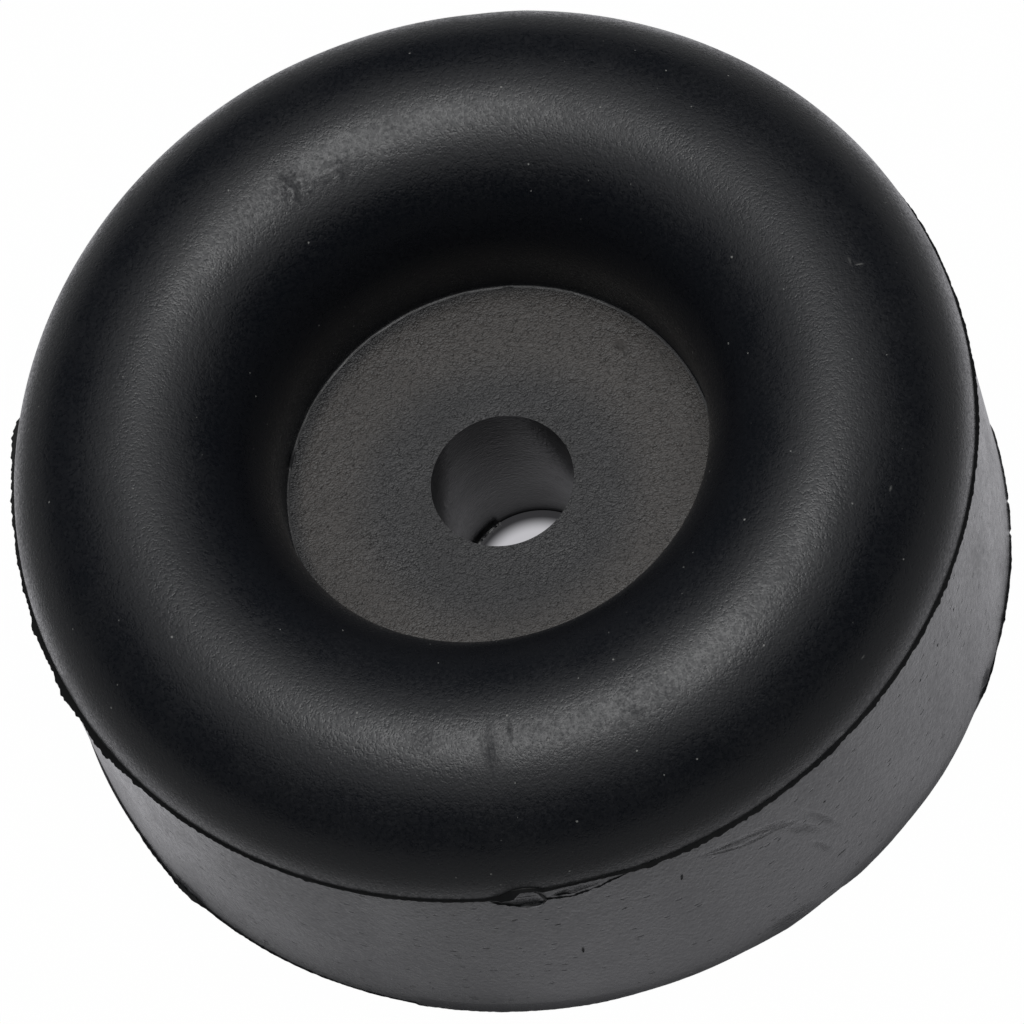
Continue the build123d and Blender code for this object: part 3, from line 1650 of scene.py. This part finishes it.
            height = share_at(degrees, heights) + wander + vert.co.z * width
            draft = (sizes.parting_height / MM - height) * math.tan(sizes.skirt_draft)
            swell = skirt_swell(degrees, height * MM, sizes) / MM
            scale = (surface + swell - draft + (radius - surface) * width) / radius
            vert.co = (vert.co.x * scale, vert.co.y * scale, height)
        bmesh.ops.scale(bm, verts=bm.verts, vec=(MM, MM, MM))
        bmesh.ops.recalc_face_normals(bm, faces=bm.faces)
        make_piece(name, bm, [rubber], FIN_SHARP_ANGLE)

    @staticmethod
    def build_lump(sizes, flash, rubber):
        """Makes the lump inside the scar, with a tail to its left."""
        bm = bmesh.new()
        bmesh.ops.create_uvsphere(bm, u_segments=64, v_segments=32, radius=1.0)
        for vert in bm.verts:
            tail = flash.lump_reach[1] * (LUMP_TAIL_SHARE if vert.co.y < 0 else 1.0)
            bumpy = 1.0 + LUMP_BUMP_SHARE * noise.noise(vert.co * LUMP_BUMPS)
            out, along, up = vert.co * bumpy
            vert.co = (flash.lump_reach[0] * out, tail * along, flash.lump_reach[2] * up)
        height = sizes.parting_height - flash.lump_drop
        swell = skirt_swell(math.degrees(flash.lump_azimuth), height, sizes)
        place = Matrix.Translation((sizes.outer_radius + swell, 0, height))
        turn = Matrix.Rotation(flash.lump_azimuth, 4, "Z")
        bmesh.ops.transform(bm, verts=bm.verts, matrix=turn @ place)
        bmesh.ops.recalc_face_normals(bm, faces=bm.faces)
        make_piece("scar_lump", bm, [rubber], ROUND_SHARP_ANGLE)

    @staticmethod
    def build_seat_rim(sizes, flash, finish, heights):
        """Makes the low uneven rim that runs round the edge of the seat."""
        middle = sizes.seat_radius - sizes.seat_corner_radius
        half = flash.rim_width / 2
        bm = bmesh.new()
        first = bm.verts.new((middle - half, 0, sizes.seat_height - half))
        tip = draw_line(bm, first, (middle - half, 0, sizes.seat_height))
        tip = draw_line(bm, tip, (middle, 0, sizes.seat_height + flash.rim_height), steps=2)
        tip = draw_line(bm, tip, (middle + half, 0, sizes.seat_height), steps=2)
        tip = draw_line(bm, tip, (middle + half, 0, sizes.seat_height - half))
        draw_line(bm, tip, first.co)
        revolve(bm, sizes.turn_steps)
        for vert in bm.verts:
            if vert.co.z > sizes.seat_height:
                azimuth = math.atan2(vert.co.y, vert.co.x)
                uneven = max(1.0 + ring_waves(azimuth, RIM_WAVES), LEAST_RIM_SHARE)
                share = uneven * share_at(math.degrees(azimuth), heights)
                vert.co.z = sizes.seat_height + (vert.co.z - sizes.seat_height) * share
        # The rim takes the darker grey of the seat's painted shade along its edge
        look = Look(
            finish.seat_shade_grey,
            finish.seat_shade_grey,
            finish.crown_roughness,
            grain=4600.0,
            upright=1.0,
            depth=0.01 * MM,
        )
        make_piece("seat_rim", bm, [rubber_material("rim_rubber", look, finish.dust)], ROUND_SHARP_ANGLE)

    @staticmethod
    def build_lip(sizes, flash, rubber):
        """Makes the torn lip in the bore's lower mouth, with its top sloping into the bore."""
        bm = bmesh.new()
        inner = sizes.bore_radius - flash.lip_reach
        outer = inner + flash.lip_thickness
        root = sizes.bore_radius + flash.lip_thickness
        start = bm.verts.new((root, 0, 0))
        tip = draw_line(bm, start, (inner, 0, 0))
        inner_height = flash.lip_height - LIP_SLOPE_SHARE * flash.lip_thickness
        tip = draw_line(bm, tip, (inner, 0, inner_height), steps=3)
        tip = draw_line(bm, tip, (outer, 0, flash.lip_height), steps=2)
        tip = draw_line(bm, tip, (outer, 0, flash.lip_thickness), steps=3)
        tip = draw_line(bm, tip, (root, 0, flash.lip_thickness))
        draw_line(bm, tip, start.co)
        bmesh.ops.remove_doubles(bm, verts=bm.verts, dist=MERGE_DISTANCE)
        section = bmesh.ops.contextual_create(bm, geom=bm.edges[:])["faces"]
        bmesh.ops.rotate(bm, verts=bm.verts, matrix=Matrix.Rotation(flash.lip_start, 3, "Z"))
        bmesh.ops.spin(
            bm,
            geom=section,
            cent=(0, 0, 0),
            axis=(0, 0, 1),
            angle=flash.lip_sweep,
            steps=flash.scar_steps,
            use_duplicate=False,
        )
        for vert in bm.verts:
            vert.co.z *= 1.0 + ring_waves(math.atan2(vert.co.y, vert.co.x), LIP_WAVES)
        bmesh.ops.recalc_face_normals(bm, faces=bm.faces)
        make_piece("bore_lip", bm, [rubber], FIN_SHARP_ANGLE)


FLOOR_HALF_SIZE = 20.0
SHADE_EDGE_SHARE = 1 / 6
SHADOW_CORE_SHARE = 1 / 3
BACKWARD_SHARE = 0.5


class MOUNT_OT_set_stage(bpy.types.Operator):
    """Sets the floor, the softbox, the dim room and the camera"""

    bl_idname = "mount.set_stage"
    bl_label = "Set the stage"

    def execute(self, context):
        studio = context.scene.studio_settings
        context.scene.view_settings.view_transform = "Standard"
        self.lay_floor(context, studio)
        self.hang_lamp(context, studio, "softbox", studio.softbox_angle, studio.softbox_radiance)
        self.hang_lamp(context, studio, "sheet", studio.sheet_angle, studio.sheet_radiance)
        self.light_room(context, studio)
        self.place_camera(context, studio)
        return {"FINISHED"}

    @staticmethod
    def distance_from(tree, place, middle):
        """Adds the distance of a place on the floor from a middle and returns its socket."""
        length = add_node(tree, "ShaderNodeVectorMath", {1: (*middle, 0.0)}, operation="DISTANCE")
        tree.links.new(place, length.inputs[0])
        return length.outputs["Value"]

    def lay_floor(self, context, studio):
        """Lays a white floor that keeps the shadow near the mount and fades to plain white beyond it."""
        bm = bmesh.new()
        bmesh.ops.create_grid(bm, x_segments=1, y_segments=1, size=FLOOR_HALF_SIZE)
        mesh = bpy.data.meshes.new("floor")
        bm.to_mesh(mesh)
        bm.free()
        floor = bpy.data.objects.new("floor", mesh)
        context.scene.collection.objects.link(floor)
        material = bpy.data.materials.new("floor_white")
        tree, output = new_tree(material)
        sizes = context.scene.mount_sizes
        place = add_node(tree, "ShaderNodeTexCoord").outputs["Object"]
        distance = self.distance_from(tree, place, (0.0, 0.0))
        outside = math_node(tree, "GREATER_THAN", distance, sizes.base_radius)
        from_patch = self.distance_from(tree, place, studio.patch_middle)
        far = ramp(tree, from_patch, studio.bright_radius, studio.dim_radius)

        # What the camera sees: the lit floor through the bore, and nearly plain white round the mount
        shade_edge = sizes.bore_radius - SHADE_EDGE_SHARE * studio.bore_shade
        shaded = ramp(tree, distance, sizes.bore_radius - studio.bore_shade, shade_edge)
        open_bore = math_node(tree, "SUBTRACT", 1.0, shaded)
        glowing = math_node(tree, "MULTIPLY", open_bore, studio.bore_glow_share)
        in_bore = math_node(tree, "MAXIMUM", glowing, studio.bore_dim_share)
        near = math_node(tree, "MAXIMUM", math_node(tree, "MULTIPLY", outside, studio.white_share), in_bore)
        white = math_node(tree, "MAXIMUM", near, far)

        # What the rubber reflects: a bright patch round the mount, with its contact shade and its soft shadow
        from_shade = self.distance_from(tree, place, studio.shade_middle)
        inner, outer = sizes.base_radius - studio.contact_shade, sizes.base_radius + studio.contact_shade
        foot = ramp(tree, from_shade, inner, outer)
        toward = add_node(tree, "ShaderNodeVectorMath", operation="DOT_PRODUCT")
        heading = add_node(tree, "ShaderNodeVectorMath", operation="NORMALIZE")
        tree.links.new(place, heading.inputs[0])
        tree.links.new(heading.outputs["Vector"], toward.inputs[0])
        azimuth = studio.shadow_azimuth
        toward.inputs[1].default_value = (math.cos(azimuth), math.sin(azimuth), 0.0)
        edge = math.cos(studio.shadow_spread)
        core = math.cos(SHADOW_CORE_SHARE * studio.shadow_spread)
        in_shadow = ramp(tree, toward.outputs["Value"], edge, core)
        shadow = math_node(tree, "MULTIPLY", in_shadow, studio.shadow_share)
        lit = math_node(tree, "MULTIPLY", foot, math_node(tree, "SUBTRACT", 1.0, shadow))
        patch = math_node(tree, "MULTIPLY", lit, studio.patch_share)
        dimming = math_node(tree, "SUBTRACT", 1.0, far)
        split = add_node(tree, "ShaderNodeSeparateXYZ")
        tree.links.new(place, split.inputs["Vector"])
        # Painted light for the bore wall's reflections: the floor under the bore glows brighter towards the
        # back, with painted shade along the lower mouth
        lit_from = sizes.bore_radius - BACKWARD_SHARE * studio.bore_shade
        backward = ramp(tree, split.outputs["Y"], -sizes.bore_radius, lit_from)
        mouth = ramp(tree, distance, sizes.bore_radius, sizes.bore_radius - studio.bore_contact)
        bore_lit = math_node(tree, "MULTIPLY", mouth, backward)
        bore_part = math_node(tree, "MULTIPLY", bore_lit, studio.bore_reflection_share)
        reflected = math_node(tree, "MAXIMUM", math_node(tree, "MULTIPLY", patch, dimming), bore_part)

        path = add_node(tree, "ShaderNodeLightPath")
        camera_part = math_node(tree, "MULTIPLY", white, path.outputs["Is Camera Ray"])
        glossy_part = math_node(tree, "MULTIPLY", reflected, path.outputs["Is Glossy Ray"])
        near_colour = mix_colour(tree, outside, studio.shaded_floor, studio.floor_white)
        # Painted shade: the floor's colour darkens away from the bright patch, for the light falling off
        colour = mix_colour(tree, far, near_colour, studio.far_floor_shade)
        diffuse = add_node(tree, "ShaderNodeBsdfDiffuse")
        tree.links.new(colour, diffuse.inputs["Color"])
        glow = add_node(tree, "ShaderNodeEmission", {"Strength": 1.0})
        backdrop = math_node(tree, "MULTIPLY", outside, path.outputs["Is Camera Ray"])
        tree.links.new(mix_colour(tree, backdrop, studio.glow_tint, (1.0, 1.0, 1.0)), glow.inputs["Color"])
        mixed = add_node(tree, "ShaderNodeMixShader")
        tree.links.new(math_node(tree, "MAXIMUM", camera_part, glossy_part), mixed.inputs["Fac"])
        tree.links.new(diffuse.outputs["BSDF"], mixed.inputs[1])
        tree.links.new(glow.outputs["Emission"], mixed.inputs[2])
        tree.links.new(mixed.outputs["Shader"], output.inputs["Surface"])
        mesh.materials.append(material)

    @staticmethod
    def hang_lamp(context, studio, name, half_angle, radiance):
        """Hangs a round lamp over the mount that fills a given angle with a given brightness."""
        radius = studio.softbox_height * math.tan(half_angle)
        lamp = bpy.data.lights.new(name, "AREA")
        lamp.shape = "DISK"
        lamp.size = 2 * radius
        lamp.energy = radiance * math.pi * math.pi * radius**2
        hung = bpy.data.objects.new(name, lamp)
        hung.location = (*studio.softbox_offset, studio.softbox_height)
        hung.visible_camera = False
        context.scene.collection.objects.link(hung)

    @staticmethod
    def light_room(context, studio):
        """Gives the room its dim light, and shows plain white behind the floor."""
        world = bpy.data.worlds.new("studio")
        context.scene.world = world
        world.use_nodes = True
        tree = world.node_tree
        tree.nodes.clear()
        output = tree.nodes.new("ShaderNodeOutputWorld")
        room = {"Color": (*studio.room_colour, 1.0), "Strength": studio.room_light}
        dim = add_node(tree, "ShaderNodeBackground", room)
        white = add_node(tree, "ShaderNodeBackground", {"Color": (1, 1, 1, 1), "Strength": 1.0})
        mixed = add_node(tree, "ShaderNodeMixShader")
        path = add_node(tree, "ShaderNodeLightPath")
        tree.links.new(path.outputs["Is Camera Ray"], mixed.inputs["Fac"])
        tree.links.new(dim.outputs["Background"], mixed.inputs[1])
        tree.links.new(white.outputs["Background"], mixed.inputs[2])
        tree.links.new(mixed.outputs["Shader"], output.inputs["Surface"])

    @staticmethod
    def place_camera(context, studio):
        """Places the camera at the photograph's angle, turned about its line of sight."""
        elevation = studio.camera_elevation
        forward = Vector((0, math.cos(elevation), -math.sin(elevation)))
        level = Vector((1, 0, 0))
        down = forward.cross(level)
        cosine, sine = math.cos(studio.camera_roll), math.sin(studio.camera_roll)
        picture_right = cosine * level - sine * down
        picture_down = sine * level + cosine * down
        turn = Matrix((picture_right, -picture_down, -forward)).transposed()
        lens = bpy.data.cameras.new("camera")
        lens.lens = studio.camera_lens
        camera = bpy.data.objects.new("camera", lens)
        place = Vector(studio.aim) - forward * studio.camera_distance
        camera.matrix_world = Matrix.Translation(place) @ turn.to_4x4()
        context.scene.collection.objects.link(camera)
        context.scene.camera = camera


class MOUNT_PT_panel(bpy.types.Panel):
    """Lists the steps that build the mount"""

    bl_idname = "MOUNT_PT_panel"
    bl_label = "Rubber mount"
    bl_space_type = "VIEW_3D"
    bl_region_type = "UI"
    bl_category = "Mount"

    def draw(self, context):
        for step in STEPS:
            self.layout.operator(step.bl_idname)


STEPS = (MOUNT_OT_build_body, MOUNT_OT_build_flash, MOUNT_OT_set_stage)
SETTINGS = {
    "mount_sizes": MountSizes,
    "flash_sizes": FlashSizes,
    "rubber_finish": RubberFinish,
    "studio_settings": StudioSettings,
}


def register():
    for cls in (*SETTINGS.values(), *STEPS, MOUNT_PT_panel):
        bpy.utils.register_class(cls)
    for name, cls in SETTINGS.items():
        setattr(bpy.types.Scene, name, PointerProperty(type=cls))


def unregister():
    for name in SETTINGS:
        delattr(bpy.types.Scene, name)
    for cls in (MOUNT_PT_panel, *reversed(STEPS), *reversed(SETTINGS.values())):
        bpy.utils.unregister_class(cls)


def main():
    register()
    bpy.ops.mount.build_body()
    bpy.ops.mount.build_flash()
    bpy.ops.mount.set_stage()


if __name__ == "__main__":
    main()
